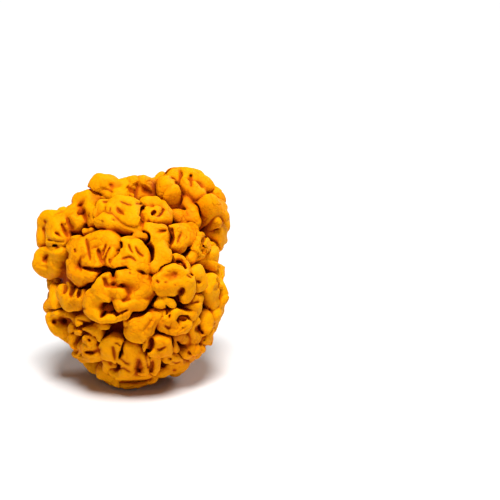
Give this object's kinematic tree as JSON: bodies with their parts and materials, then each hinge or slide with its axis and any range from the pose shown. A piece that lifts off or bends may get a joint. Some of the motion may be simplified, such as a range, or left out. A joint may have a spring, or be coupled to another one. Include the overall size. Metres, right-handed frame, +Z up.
{
  "type": "golden ear fungus",
  "caption": "Dried golden ear fungus, a rounded head of crowded, curled orange folds cut flat underneath so that it stands.",
  "frame": {"origin": "middle of the flat cut face that it rests on", "axes": "+Z up from the cut face, -Y towards the fungus's front, +X to its right as seen from the front"},
  "size_m": [0.0652, 0.0619, 0.0703],
  "materials": {
    "fungus_skin": "matte orange skin, red-brown in the folds"
  },
  "bodies": {
    "root": {"fruiting_body": "fungus_skin"}
  },
  "joints": []
}
